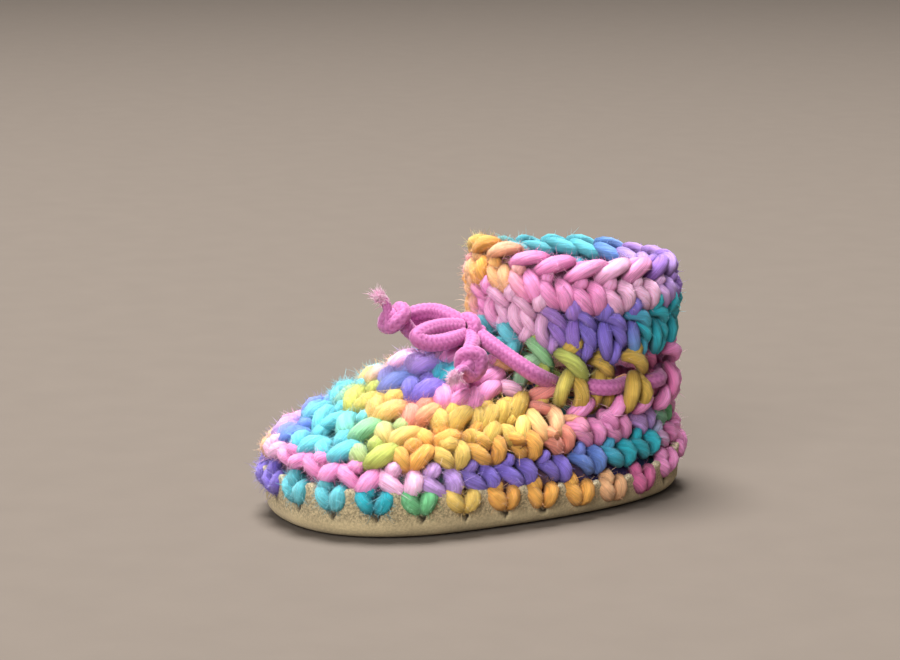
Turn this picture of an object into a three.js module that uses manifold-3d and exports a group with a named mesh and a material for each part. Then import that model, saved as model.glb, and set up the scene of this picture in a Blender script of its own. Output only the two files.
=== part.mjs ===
// A crocheted baby slipper on a turned-up suede sole, drawn in at the ankle by a knitted cord tied in a bow.
// Millimetres. +Z is up, the toe points along -Y and the wearer's left is +X.
// The origin is on the floor, under the middle of the slipper.
import * as THREE from "three";
import { mergeVertices } from "three/addons/utils/BufferGeometryUtils.js";
import Module from "manifold-3d";

const wasm = await Module();
wasm.setup();

// Driving sizes
const LENGTH = 114.4; // yarn at the toe to leather at the heel
const BALL_WIDTH = 62.8; // across the foot rows at the ball
const WALL = 6; // thickness of the crochet
const RIB = 1.6; // depth of the furrow between two rows of stitches
const FURROW_HEIGHTS = [2.5, 7]; // lowest row with any furrow, and lowest with all of it
const OVERHANG = 0.12; // most that the wall's normal dips under a ledge
const LEATHER = 2; // thickness of the suede
const GAP = 0.3; // between pieces that touch
const CORD = 4; // diameter of the drawstring
const CORD_SIDES = 8;

// Rounds of the crochet from the leather's edge to the rim, as the outline over the crests of the yarn.
// toeBack: how far behind the toe tip the round crosses the middle line in front.
// heelIn: how far in front of the heel it crosses the middle line behind.
// widest: where along Y it is widest. narrow: how much it draws in on each side from the ball.
// square: 2 is an ellipse, more is fuller at the corners.
const ROUND_COLUMNS = ["name", "toeBack", "heelIn", "widest", "narrow", "square", "zToe", "zSide", "zHeel"];
const ROUNDS = [
  ["edge", 2.8, 0, -17.2, 0, 2.3, 12.4, 11, 14.2],
  ["first", -0.5, 0.4, -17.2, 0, 2.2, 18.6, 17.5, 19.4],
  ["second", 7.6, 1.8, -12.2, 1, 2.15, 27, 25, 25.5],
  ["vamp1", 16, 1.7, -5.2, 1.8, 2.1, 33, 25.6, 26.1],
  ["vamp2", 24.5, 1.6, 2.8, 2.6, 2.1, 36.8, 26.2, 26.7],
  ["vamp3", 33.5, 1.5, 10.8, 3.4, 2.1, 39.8, 26.8, 27.3],
  ["vamp4", 43.5, 1.4, 19.8, 4.2, 2.1, 41.2, 27.4, 27.9],
  ["ankle", 54.8, 1.3, 28.3, 5.1, 2.05, 42, 28, 28.5],
  ["eyelets", 58.6, 1.71, 29.1, 5.4, 2, 47.5, 39, 39],
  ["tall", 58.6, 0.6, 29.1, 5.1, 2, 55.5, 50, 49.5],
  ["short", 58.8, 1, 29.1, 5.3, 2, 62.2, 57.2, 56],
  ["rim", 60, 2.2, 29.1, 6, 2, 66.5, 61.8, 60.2],
].map((row) => Object.fromEntries(row.map((value, i) => [ROUND_COLUMNS[i], value])));
const ANKLE_MIDDLE = 28.8; // where the ankle's upright axis stands along Y
const TOE_RISE = 2.6; // how late a round climbs from its side to its front
const ANKLE = ROUNDS.findIndex((round) => round.name === "ankle");
const RIM = ROUNDS.length - 1;

// Leather edge: one hook of yarn pulls a notch into it at each stitch of the first row
const HOOKS = 26;
const COLUMNS_PER_HOOK = 3;
const EDGE_PEAK = { zToe: 10.4, zSide: 9.2, zHeel: 12.4 };
const NOTCH = 4; // depth of a notch
const SEAM = 0.6; // upright gap between the leather's edge and the crochet over it
const HEM_INSET = LEATHER + GAP + 0.15; // the hem of the upper stands inside the leather
const HEM_LIP = 0.4; // the crochet overhangs the leather's edge up to here
const HEM_FOOT = 4.4; // height of the hem's lower edge

// Where each row of stitches gets a ring of points, as shares of the way up it
const ROW_SHARES = { first: [0, 0.3, 0.7], second: [0, 0.3, 0.7], eyelets: [0, 0.25, 0.5, 0.75] };
const OTHER_ROW_SHARES = [0, 0.5];
const INSIDE_ROUNDS = ["edge", "first", "second", "vamp2", "vamp4", "eyelets"];

// Sections of the turned-up sole, as insets from the edge round and heights above the floor
const SOLE_OUTSIDE = [
  { inset: 6.2, z: 0 },
  { inset: 3.2, z: 0.45 },
  { inset: 1.3, z: 1.7 },
  { inset: 0.3, z: 3.6 },
];
const SOLE_INSIDE = [
  { inset: LEATHER + 0.1, z: 4.6 },
  { inset: LEATHER + 1.2, z: 3 },
  { inset: LEATHER + 3.6, z: LEATHER },
];
const INSOLE = { inset: 7, foot: LEATHER + GAP, top: LEATHER + GAP + 2.5, bevel: 0.8 };

// Eyelet row: posts of yarn that stand forward and back in turn, with the cord woven between them
const POST_STEP = 20; // degrees round the ankle from post to post
const LAST_POST = 120; // degrees from the heel to the last post that the cord goes behind
const POST_WALL = 3.2; // thickness of a post
const POST_DEPTH = 3.6; // middle of the posts under the skin
const POST_SWING = 3.6; // how far a post stands forward or back
const CORD_SWING = 1.5; // how far the cord does
const EYELET = { width: 4.2, height: 6.8, corner: 1.2 };
const LAST_EYELET_WIDTH = 7.6; // wider, where the cord slants out to the bow
const EYELET_SHARE = 0.5; // how far up the row the eyelets are
const LAST_EYELET_SHARE = 0.38;

// Bow, laid forward over the vamp: the lines of its loops and ends, chosen by hand, from the knot outwards
const KNOT = { at: [5, -4.4, 45.4], reach: [4.4, 4, 4.6] };
const BOW_LOOPS = {
  bow_loop_near: [
    [5.6, -8.8, 47.6], [6.2, -13.6, 48.2], [7.2, -18.6, 47.4], [8, -21.6, 45],
    [9.4, -19.2, 42.6], [9.8, -14.2, 42.4], [7.8, -9.2, 43.4],
  ],
  bow_loop_far: [
    [1.6, -7.4, 48.6], [-2.5, -10.2, 50.8], [-4.4, -14.2, 50.8], [-5.6, -17, 48.8],
    [-6.2, -14.2, 46.2], [-4.4, -9.7, 45], [-0.3, -6.4, 44.4],
  ],
};
const BOW_ENDS = {
  bow_end_far: [
    [2.4, -8.5, 43.2], [2, -12.7, 43.9], [1.6, -17.7, 44.8],
    [2, -23.2, 49.4], [1.5, -25.6, 53.2], [1, -27.6, 56],
  ],
  bow_end_near: [
    [10.5, -6, 43], [12.8, -8, 41.8], [15.6, -9.4, 40.8],
    [18.6, -11, 39.4], [20.6, -14, 37], [22, -16.6, 34.6],
  ],
};
const END_KNOT_POINT = 3; // which point of an end its overhand knot is on
const END_KNOT = 3.7; // radius of that knot

// Columns round the upper: the foot follows the hooks, the cuff the posts, and the inside is plainer
const FOOT_COLUMNS = HOOKS * COLUMNS_PER_HOOK;
const CUFF_COLUMNS = 72;
const INSIDE_COLUMNS = 40;

const TURN = Math.PI * 2;
const radians = THREE.MathUtils.degToRad;

const suede = new THREE.MeshStandardMaterial({ color: 0xb9a377, roughness: 0.95, metalness: 0 });
const wool = new THREE.MeshStandardMaterial({ color: 0xe39bbf, roughness: 0.9, metalness: 0 });
const fleece = new THREE.MeshStandardMaterial({ color: 0xe9dfcb, roughness: 1, metalness: 0 });
const cordYarn = new THREE.MeshStandardMaterial({ color: 0xc565a6, roughness: 0.85, metalness: 0 });

// Outline of the slipper

function signedPower(value, square) {
  return Math.sign(value) * Math.abs(value) ** (2 / square);
}

// Height between the front, side and back values of a round or an edge; angle 0 is the heel
function heightAt(heights, angle) {
  const c = Math.cos(angle);
  const behind = (heights.zHeel - heights.zSide) * Math.max(c, 0) ** 2;
  const before = (heights.zToe - heights.zSide) * Math.max(-c, 0) ** TOE_RISE;
  return heights.zSide + behind + before;
}

// Point of a round at its own angle, which runs evenly along each half of its outline
function outlinePoint(round, own, inset = 0) {
  const c = Math.cos(own);
  const front = -LENGTH / 2 + round.toeBack + inset;
  const back = LENGTH / 2 - round.heelIn - inset;
  const reach = c > 0 ? back - round.widest : round.widest - front;
  return new THREE.Vector3(
    (BALL_WIDTH / 2 - round.narrow - inset) * signedPower(Math.sin(own), round.square),
    round.widest + reach * signedPower(c, round.square),
    heightAt(round, own),
  );
}

// Point of a round in a direction seen from the middle of the ankle, so that rounds above each other line up
function roundPoint(round, angle, inset = 0) {
  const turned = THREE.MathUtils.euclideanModulo(angle + Math.PI, TURN) - Math.PI;
  let low = 0;
  let high = Math.PI;
  while (high - low > 1e-7) {
    const middle = (low + high) / 2;
    const { x, y } = outlinePoint(round, middle);
    if (Math.atan2(x, y - ANKLE_MIDDLE) < Math.abs(turned)) low = middle;
    else high = middle;
  }
  return outlinePoint(round, Math.sign(turned) * low, inset);
}

// Surface over the crests of the yarn: row is a round's number, and between two numbers a smooth curve
function skinPoint(angle, row) {
  const low = Math.min(Math.floor(row), RIM - 1);
  const near = [low - 1, low, low + 1, low + 2].map((i) => THREE.MathUtils.clamp(i, 0, RIM));
  const points = near.map((i) => roundPoint(ROUNDS[i], angle));
  const t = row - low;
  return new THREE.Vector3(
    ...["x", "y", "z"].map((axis) => {
      const [a, b, c, d] = points.map((point) => point[axis]);
      return b + 0.5 * t * (c - a + t * (2 * a - 5 * b + 4 * c - d + t * (3 * (b - c) + d - a)));
    }),
  );
}

function skinNormal(angle, row) {
  const step = 0.02;
  const along = skinPoint(angle + step, row).sub(skinPoint(angle - step, row));
  const up = skinPoint(angle, Math.min(row + step, RIM)).sub(skinPoint(angle, Math.max(row - step, 0)));
  const normal = up.cross(along).normalize();
  normal.z = Math.max(normal.z, -OVERHANG);
  return normal.normalize();
}

function underSkin(angle, row, depth) {
  return skinPoint(angle, row).addScaledVector(skinNormal(angle, row), -depth);
}

// Angles that share the leather's edge into equal lengths
function evenAngles(count) {
  const fine = 1440;
  const lengths = [0];
  for (let i = 1; i <= fine; i += 1) {
    const a = roundPoint(ROUNDS[0], (TURN * (i - 1)) / fine);
    const b = roundPoint(ROUNDS[0], (TURN * i) / fine);
    lengths.push(lengths[i - 1] + Math.hypot(b.x - a.x, b.y - a.y));
  }
  const angles = [];
  for (let k = 0; k < count; k += 1) {
    const wanted = (lengths[fine] * k) / count;
    const i = lengths.findIndex((length) => length >= wanted);
    const share = i > 0 ? (wanted - lengths[i - 1]) / (lengths[i] - lengths[i - 1]) : 0;
    angles.push((TURN * (Math.max(i - 1, 0) + share)) / fine);
  }
  return angles;
}

const FOOT_ANGLES = evenAngles(FOOT_COLUMNS);
const INSIDE_ANGLES = evenAngles(INSIDE_COLUMNS);
const CUFF_ANGLES = Array.from({ length: CUFF_COLUMNS }, (unused, i) => (TURN * i) / CUFF_COLUMNS);

function leatherEdge(column) {
  const notch = column % COLUMNS_PER_HOOK === 0 ? NOTCH : 0;
  return heightAt(EDGE_PEAK, FOOT_ANGLES[column]) - notch;
}

// Meshes and solids

// Strip of triangles between two rings of points, whose angles need not match
function strip(index, low, lowStart, high, highStart) {
  const angleOf = (ring, i) => (i < ring.angles.length ? ring.angles[i] : TURN);
  let i = 0;
  let j = 0;
  while (i < low.angles.length || j < high.angles.length) {
    const here = lowStart + (i % low.angles.length);
    const there = highStart + (j % high.angles.length);
    const lowFirst = j === high.angles.length || angleOf(low, i + 1) <= angleOf(high, j + 1);
    if (i < low.angles.length && lowFirst) {
      i += 1;
      index.push(here, there, lowStart + (i % low.angles.length));
    } else {
      j += 1;
      index.push(here, there, highStart + (j % high.angles.length));
    }
  }
}

// Rings stacked one on another: middle points close the first and last, or else the last joins the first
function stackGeometry(rings, middles) {
  const starts = [];
  const points = [];
  for (const ring of rings) {
    starts.push(points.length);
    points.push(...ring.points);
  }
  const index = [];
  const pairs = middles ? rings.length - 1 : rings.length;
  for (let k = 0; k < pairs; k += 1) {
    const next = (k + 1) % rings.length;
    strip(index, rings[k], starts[k], rings[next], starts[next]);
  }
  if (middles) {
    const top = rings.length - 1;
    const centre = (point) => ({ angles: [0], points: [point] });
    strip(index, centre(middles[0]), points.push(middles[0]) - 1, rings[0], starts[0]);
    strip(index, rings[top], starts[top], centre(middles[1]), points.push(middles[1]) - 1);
  }
  const isTriangle = (k) => new Set(index.slice(k - (k % 3), k - (k % 3) + 3)).size === 3;
  return indexed(points.flatMap((point) => point.toArray()), index.filter((corner, k) => isTriangle(k)));
}

function ringOf(angles, pointAt) {
  return { angles, points: angles.map(pointAt) };
}

function indexed(positions, index) {
  const geometry = new THREE.BufferGeometry();
  geometry.setAttribute("position", new THREE.Float32BufferAttribute(positions, 3));
  geometry.setIndex(index);
  return geometry;
}

function solidOf(geometry) {
  const bare = geometry.clone();
  bare.deleteAttribute("normal");
  bare.deleteAttribute("uv");
  const merged = mergeVertices(bare, 1e-4);
  return new wasm.Manifold(
    new wasm.Mesh({
      numProp: 3,
      vertProperties: new Float32Array(merged.attributes.position.array),
      triVerts: new Uint32Array(merged.index.array),
    }),
  );
}

function geometryOf(solid) {
  const mesh = solid.getMesh();
  return indexed(Array.from(mesh.vertProperties), Array.from(mesh.triVerts));
}

// Round cord along a smooth line through the points
function cordGeometry(points, steps) {
  const circle = new THREE.Shape().absarc(0, 0, CORD / 2, 0, TURN);
  const line = new THREE.CatmullRomCurve3(points);
  return new THREE.ExtrudeGeometry(circle, { steps, curveSegments: CORD_SIDES / 2, extrudePath: line });
}

// Sole

function insetRing(angles, inset, z) {
  return ringOf(angles, (angle) => roundPoint(ROUNDS[0], angle, inset).setZ(z));
}

function edgeRing(inset, lift) {
  return ringOf(FOOT_ANGLES, (angle, i) => roundPoint(ROUNDS[0], angle, inset).setZ(leatherEdge(i) + lift));
}

function soleGeometry() {
  const rings = (sections) => sections.map(({ inset, z }) => insetRing(FOOT_ANGLES, inset, z));
  const all = [...rings(SOLE_OUTSIDE), edgeRing(0, 0), edgeRing(LEATHER, 0), ...rings(SOLE_INSIDE)];
  const middle = new THREE.Vector3(0, ROUNDS[0].widest / 2, 0);
  return stackGeometry(all, [middle, middle.clone().setZ(LEATHER)]);
}

// Insole

function insoleGeometry() {
  const { inset, foot, top, bevel } = INSOLE;
  const rings = [[0, foot], [0, top - bevel], [bevel, top]].map(([extra, z]) =>
    insetRing(INSIDE_ANGLES, inset + extra, z),
  );
  const middle = new THREE.Vector3(0, ROUNDS[0].widest / 2, foot);
  return stackGeometry(rings, [middle, middle.clone().setZ(top)]);
}

// Upper

// 1 where a post stands forward over the cord, -1 where it stands back under it, 0 between posts
function postSide(angle) {
  const fromHeel = Math.abs(THREE.MathUtils.euclideanModulo(angle + Math.PI, TURN) - Math.PI);
  if (fromHeel > radians(LAST_POST + POST_STEP / 2)) return 0;
  return THREE.MathUtils.clamp(1.5 * Math.cos((Math.PI * angle) / radians(POST_STEP)), -1, 1);
}

// Depths of the outer and inner face under the skin, for a share of the way up a row
function wallDepths(row, share, angle) {
  const crest = Math.sin(Math.PI * share);
  const height = skinPoint(angle, row).distanceTo(skinPoint(angle, row + 1));
  const furrow = RIB * THREE.MathUtils.smoothstep(height, ...FURROW_HEIGHTS) * (1 - crest);
  if (row !== ANKLE) return { outer: furrow, inner: WALL };
  const middle = THREE.MathUtils.lerp(WALL / 2, POST_DEPTH - POST_SWING * postSide(angle), crest);
  const half = THREE.MathUtils.lerp(WALL, POST_WALL, crest) / 2;
  return { outer: middle - half + furrow, inner: middle + half };
}

function wallRing(angles, row, share, face) {
  return ringOf(angles, (angle) => underSkin(angle, row + share, wallDepths(row, share, angle)[face]));
}

function rimRing(depth) {
  return ringOf(CUFF_ANGLES, (angle) => underSkin(angle, RIM, depth));
}

function upperRings() {
  const outside = [
    insetRing(FOOT_ANGLES, HEM_INSET + 0.5, HEM_FOOT),
    edgeRing(HEM_INSET, SEAM),
    edgeRing(HEM_LIP, SEAM),
  ];
  const inside = [insetRing(INSIDE_ANGLES, WALL + 0.3, HEM_FOOT)];
  for (let row = 0; row < RIM; row += 1) {
    for (const share of ROW_SHARES[ROUNDS[row + 1].name] ?? OTHER_ROW_SHARES) {
      outside.push(wallRing(row < ANKLE ? FOOT_ANGLES : CUFF_ANGLES, row, share, "outer"));
      const kept = row === ANKLE || (share === 0 && INSIDE_ROUNDS.includes(ROUNDS[row].name));
      if (kept) inside.unshift(wallRing(row < ANKLE ? INSIDE_ANGLES : CUFF_ANGLES, row, share, "inner"));
    }
  }
  return [...outside, rimRing(RIB), rimRing(WALL - RIB), ...inside];
}

function eyeletRow(degrees) {
  return ANKLE + (Math.abs(degrees) > LAST_POST ? LAST_EYELET_SHARE : EYELET_SHARE);
}

// Hole between two posts, along the wall's own normal
function eyeletSolid(degrees, width) {
  const angle = radians(degrees);
  const row = eyeletRow(degrees);
  const { height, corner } = EYELET;
  const w = width / 2 - corner;
  const h = height / 2 - corner;
  const outline = new THREE.Shape();
  outline.absarc(w, h, corner, 0, Math.PI / 2);
  outline.absarc(-w, h, corner, Math.PI / 2, Math.PI);
  outline.absarc(-w, -h, corner, Math.PI, 1.5 * Math.PI);
  outline.absarc(w, -h, corner, 1.5 * Math.PI, TURN);
  const depth = 4 * WALL;
  const prism = new THREE.ExtrudeGeometry(outline, { depth, curveSegments: 1, bevelEnabled: false });
  const normal = skinNormal(angle, row).setZ(0).normalize();
  const side = new THREE.Vector3(0, 0, 1).cross(normal);
  const place = new THREE.Matrix4().makeBasis(side, new THREE.Vector3(0, 0, 1), normal);
  place.setPosition(underSkin(angle, row, POST_DEPTH).addScaledVector(normal, -depth / 2));
  return solidOf(prism.applyMatrix4(place));
}

function upperGeometry() {
  let solid = solidOf(stackGeometry(upperRings()));
  for (let degrees = POST_STEP / 2; degrees < LAST_POST + POST_STEP; degrees += POST_STEP) {
    const width = degrees > LAST_POST ? LAST_EYELET_WIDTH : EYELET.width;
    for (const side of [1, -1]) solid = solid.subtract(eyeletSolid(side * degrees, width));
  }
  return geometryOf(solid);
}

// Drawstring

// Line of the cord where it is woven round the ankle
function wovenPoint(degrees) {
  const angle = radians(degrees);
  const back = CORD_SWING * Math.cos((Math.PI * angle) / radians(POST_STEP));
  return underSkin(angle, eyeletRow(degrees), POST_DEPTH + back);
}

// Line from the last eyelet to the knot, outside the crochet
function barPoints(side) {
  const degrees = side * (LAST_POST + POST_STEP);
  const out = underSkin(radians(degrees), eyeletRow(degrees), -CORD / 2 - 0.6);
  const end = new THREE.Vector3(...KNOT.at).add(new THREE.Vector3(side * (KNOT.reach[0] + GAP), 2.4, 0));
  const middle = out.clone().lerp(end, 0.5).add(new THREE.Vector3(side * 0.8, -0.8, 0.3));
  return [out, middle, end];
}

function ringCordGeometry() {
  const last = LAST_POST + POST_STEP / 2;
  const points = [];
  for (let degrees = -last; degrees <= last; degrees += POST_STEP / 4) points.push(wovenPoint(degrees));
  return cordGeometry([...barPoints(-1).reverse(), ...points, ...barPoints(1)], 72);
}

function knotGeometry() {
  return new THREE.SphereGeometry(1, 10, 7).scale(...KNOT.reach).translate(...KNOT.at);
}

function lineOf(points) {
  return points.map((point) => new THREE.Vector3(...point));
}

function loopGeometry(points) {
  return cordGeometry(lineOf(points), 16);
}

function endGeometry(points) {
  const knot = new THREE.SphereGeometry(END_KNOT, 9, 6).translate(...points[END_KNOT_POINT]);
  return geometryOf(solidOf(cordGeometry(lineOf(points), 12)).add(solidOf(knot)));
}

const group = new THREE.Group();

function addPiece(name, geometry, material) {
  const mesh = new THREE.Mesh(geometry, material);
  mesh.name = name;
  group.add(mesh);
}

addPiece("sole", soleGeometry(), suede);
addPiece("insole", insoleGeometry(), fleece);
addPiece("upper", upperGeometry(), wool);
addPiece("drawstring_ring", ringCordGeometry(), cordYarn);
addPiece("bow_knot", knotGeometry(), cordYarn);
for (const [name, points] of Object.entries(BOW_LOOPS)) addPiece(name, loopGeometry(points), cordYarn);
for (const [name, points] of Object.entries(BOW_ENDS)) addPiece(name, endGeometry(points), cordYarn);

export default group;
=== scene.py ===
import math

import bmesh
import bpy
import numpy as np
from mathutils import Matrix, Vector


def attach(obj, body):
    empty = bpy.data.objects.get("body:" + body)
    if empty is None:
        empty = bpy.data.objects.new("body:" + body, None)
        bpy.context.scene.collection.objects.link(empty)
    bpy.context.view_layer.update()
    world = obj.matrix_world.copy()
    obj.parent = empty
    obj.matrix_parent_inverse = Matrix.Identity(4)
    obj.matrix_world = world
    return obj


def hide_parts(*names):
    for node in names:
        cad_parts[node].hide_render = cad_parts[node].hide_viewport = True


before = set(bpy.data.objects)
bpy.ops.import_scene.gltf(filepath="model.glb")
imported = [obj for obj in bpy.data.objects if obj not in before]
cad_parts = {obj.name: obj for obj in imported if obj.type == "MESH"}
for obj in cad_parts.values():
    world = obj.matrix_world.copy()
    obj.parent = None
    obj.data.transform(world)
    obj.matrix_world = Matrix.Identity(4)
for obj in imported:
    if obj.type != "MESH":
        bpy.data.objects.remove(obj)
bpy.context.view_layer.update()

mm = 0.001
dice = np.random.default_rng(26)


# Camera, floor and light

view = {
    "azimuth": 62,
    "elevation": 11,
    "distance": 0.7,
    "target": (0, 0.0011, 0.034),
    "lens": 111,
    "shift": (-0.0311, 0.0432),  # puts the slipper where the photograph has it
}


def placeCamera():
    turn = math.radians(view["azimuth"])
    rise = math.radians(view["elevation"])
    back = Vector((math.sin(turn) * math.cos(rise), -math.cos(turn) * math.cos(rise), math.sin(rise)))
    place = Vector(view["target"]) + back * view["distance"]
    bpy.ops.object.select_all(action="DESELECT")
    bpy.ops.object.camera_add(location=place, rotation=back.to_track_quat("Z", "Y").to_euler())
    camera = bpy.context.object
    camera.name = "photo_camera"
    camera.data.lens = view["lens"]
    camera.data.sensor_width = 36
    camera.data.shift_x, camera.data.shift_y = view["shift"]
    camera.data.clip_start = 0.01
    bpy.context.scene.camera = camera


studio = {
    "key": {"at": (-0.46, -0.12, 2.75), "size": 1.6, "power": 196, "colour": (1, 0.98, 0.96)},
    "fill": {"at": (2.2, -2.53, 1.76), "size": 2.2, "power": 128, "colour": (1, 0.98, 0.95)},
    "aim": (0, 0, 0.03),
    "air": (0.55, 0.53, 0.51),  # light that comes from all round
    "airPower": 0.26,
}


def lightStudio():
    for name in ("key", "fill"):
        lamp = studio[name]
        aim = Vector(studio["aim"]) - Vector(lamp["at"])
        turn = aim.to_track_quat("-Z", "Y").to_euler()
        bpy.ops.object.light_add(type="AREA", location=lamp["at"], rotation=turn)
        light = bpy.context.object
        light.name = name + "_light"
        light.data.shape = "DISK"
        light.data.size = lamp["size"]
        light.data.energy = lamp["power"]
        light.data.color = lamp["colour"]
    world = bpy.data.worlds.new("studio_air")
    world.use_nodes = True
    air = world.node_tree.nodes["Background"]
    air.inputs["Color"].default_value = (*studio["air"], 1)
    air.inputs["Strength"].default_value = studio["airPower"]
    bpy.context.scene.world = world
    bpy.context.scene.view_settings.view_transform = "Standard"


placeCamera()
lightStudio()
print("camera and light set")


# Shader maths: a socket that adds its nodes when it is used in an expression

class Wire:
    def __init__(self, tree, socket=None):
        self.tree = tree
        self.socket = socket

    def node(self, kind, settings=None, sockets=None, out=0):
        made = self.tree.nodes.new(kind)
        for name, value in (settings or {}).items():
            if name == "stops":
                ramp = made.color_ramp
                while len(ramp.elements) < len(value):
                    ramp.elements.new(0.5)
                for stop, (place, colour) in zip(ramp.elements, value):
                    stop.position = place
                    stop.color = (*colour, 1)
            else:
                setattr(made, name, value)
        for name, value in (sockets or {}).items():
            if isinstance(value, Wire):
                self.tree.links.new(value.socket, made.inputs[name])
            else:
                made.inputs[name].default_value = value
        return Wire(self.tree, made.outputs[out])

    def math(self, operation, first, second=0.0):
        return self.node("ShaderNodeMath", {"operation": operation}, {0: first, 1: second})

    def __add__(self, other):
        return self.math("ADD", self, other)

    def __radd__(self, other):
        return self.math("ADD", other, self)

    def __sub__(self, other):
        return self.math("SUBTRACT", self, other)

    def __rsub__(self, other):
        return self.math("SUBTRACT", other, self)

    def __mul__(self, other):
        return self.math("MULTIPLY", self, other)

    def __rmul__(self, other):
        return self.math("MULTIPLY", other, self)


def eased(value, low, high):
    sockets = {"Value": value, "From Min": low, "From Max": high}
    return value.node("ShaderNodeMapRange", {"interpolation_type": "SMOOTHSTEP"}, sockets)


def setInputs(shader, values):
    for name, value in values.items():
        shader.inputs[name].default_value = value


def startMaterial(name, roughness, sheen, sheenColour):
    material = bpy.data.materials.new(name)
    material.use_nodes = True
    tree = material.node_tree
    shader = tree.nodes["Principled BSDF"]
    setInputs(shader, {"Roughness": roughness, "Specular IOR Level": 0.25})
    setInputs(shader, {"Sheen Weight": sheen, "Sheen Roughness": 0.5, "Sheen Tint": (*sheenColour, 1)})
    return material, Wire(tree), shader


def plug(wire, shader, name):
    wire.tree.links.new(wire.socket, shader.inputs[name])


def objectPlace(wire):
    return wire.node("ShaderNodeTexCoord", None, None, "Object")


def noise(wire, place, scale, detail, roughness=0.5, distortion=0.0):
    sockets = {"Vector": place, "Scale": scale, "Detail": detail}
    sockets.update({"Roughness": roughness, "Distortion": distortion})
    return wire.node("ShaderNodeTexNoise", None, sockets)


# the kept colour is the dye, with the painted shade that some pieces carry in it
def dyeAndShadeShader(wire, shader, shade):  # the colour kept at each point, made darker or lighter
    dye = wire.node("ShaderNodeAttribute", {"attribute_name": "dye"}, None, "Color")
    grey = wire.node("ShaderNodeCombineColor", None, {0: shade, 1: shade, 2: shade})
    settings = {"data_type": "RGBA", "blend_type": "MULTIPLY"}
    plug(wire.node("ShaderNodeMix", settings, {0: 1.0, 6: dye, 7: grey}, 2), shader, "Base Color")


def bump(wire, shader, height, strength, distance):
    sockets = {"Height": height, "Strength": strength, "Distance": distance}
    plug(wire.node("ShaderNodeBump", None, sockets), shader, "Normal")


yarn = {
    "twist": 0.35,  # how far the fibres wind round the strand along its length
    "fibres": (86, 3.4, 9.7),  # how fine: around, along and from strand to strand
    "plies": (11, 1.6, 5.3),
    "shade": (0.6, 0.42, 0.44),  # least, and what the fibres and the plies add
}


def strandWool(name):  # fibres run along the strand's own UV map and lean with its twist
    material, wool, shader = startMaterial(name, 0.8, 0.15, (1, 0.97, 0.95))
    skein = wool.node("ShaderNodeAttribute", {"attribute_name": "skein"}, None, "Fac")
    place = wool.node("ShaderNodeUVMap", {"uv_map": "UVMap"})
    along = wool.node("ShaderNodeSeparateXYZ", None, {0: place}, "Y")
    lean = wool.node("ShaderNodeSeparateXYZ", None, {0: place}, "X") + along * yarn["twist"]

    def streaks(fine, detail, roughness):
        spread = {0: lean * fine[0], 1: along * fine[1], 2: skein * fine[2]}
        return noise(wool, wool.node("ShaderNodeCombineXYZ", None, spread), 1, detail, roughness)

    fibres = streaks(yarn["fibres"], 3, 0.65)
    plies = streaks(yarn["plies"], 2, 0.5)
    least, fine, broad = yarn["shade"]
    shade = least + eased(fibres, 0.3, 0.7) * fine + eased(plies, 0.25, 0.75) * broad
    dyeAndShadeShader(wool, shader, shade)
    bump(wool, shader, fibres + plies * 0.8, 0.75, 0.0008)
    setInputs(shader, {"Subsurface Weight": 0.2, "Subsurface Scale": 0.0016})
    setInputs(shader, {"Subsurface Radius": (1, 0.75, 0.65)})
    return material


def fieldWool(name):  # felted wool between and behind the strands, and loose fibres
    material, wool, shader = startMaterial(name, 0.9, 0.1, (1, 0.97, 0.95))
    tangle = noise(wool, objectPlace(wool), 900, 4, distortion=1.2)
    dyeAndShadeShader(wool, shader, 0.6 + tangle * 0.6)
    bump(wool, shader, tangle, 0.6, 0.0008)
    return material


# The last: rounds that the crochet and the leather follow, in millimetres. They lie a little under
# the crests of the solids, because whole strands stand out from them.

last = {
    "length": 114.4,
    "width": 62.8,
    "ankleMiddle": 28.8,  # where the ankle's axis stands
    "toeRise": 2.6,
    "ankle": 7,
    "rim": 11,
}
# toe back, heel in, widest, narrower, squareness, heights at toe, side and heel
rounds = np.array([
    [2.8, 0, -17.2, 0, 2.3, 15, 7.8, 13.2],
    [3.8, 0.4, -17.2, 0, 2.2, 20.6, 16.6, 19.4],
    [10.8, 1.8, -12.2, 1, 2.15, 24.2, 23.6, 24],
    [18.6, 1.7, -5.2, 1.8, 2.1, 29.2, 23.9, 24.4],
    [26.4, 1.6, 2.8, 2.6, 2.1, 33.6, 24.1, 24.8],
    [34.3, 1.5, 10.8, 3.4, 2.1, 37.4, 24.3, 25.2],
    [43.8, 1.4, 19.8, 4.2, 2.1, 40.2, 24.5, 25.6],
    [54.8, 1.3, 28.3, 5.1, 2.05, 42, 24.6, 26],
    [57.8, 1.71, 29.1, 5.4, 2, 47.5, 39, 39],
    [57.6, 0.6, 29.1, 5.1, 2, 55.5, 50, 49.5],
    [57.8, 1, 29.1, 5.3, 2, 62.2, 57.2, 56],
    [59, 2.2, 29.1, 6, 2, 66.5, 61.8, 60.2],
])


def power(value, exponent):
    return np.sign(value) * np.abs(value) ** exponent


def heightAt(toe, side, heel, angle):
    ahead = np.clip(-np.cos(angle), 0, None) ** last["toeRise"]
    behind = np.clip(np.cos(angle), 0, None) ** 2
    return side + (heel - side) * behind + (toe - side) * ahead


def outline(shape, own, inset=0.0):
    toeBack, heelIn, widest, narrow, square = shape[:5]
    front = -last["length"] / 2 + toeBack + inset
    back = last["length"] / 2 - heelIn - inset
    reach = np.where(np.cos(own) > 0, back - widest, widest - front)
    x = (last["width"] / 2 - narrow - inset) * power(np.sin(own), 2 / square)
    y = widest + reach * power(np.cos(own), 2 / square)
    return np.stack([x, y, heightAt(*shape[5:], own)], -1)


tableSteps = 1440


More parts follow.
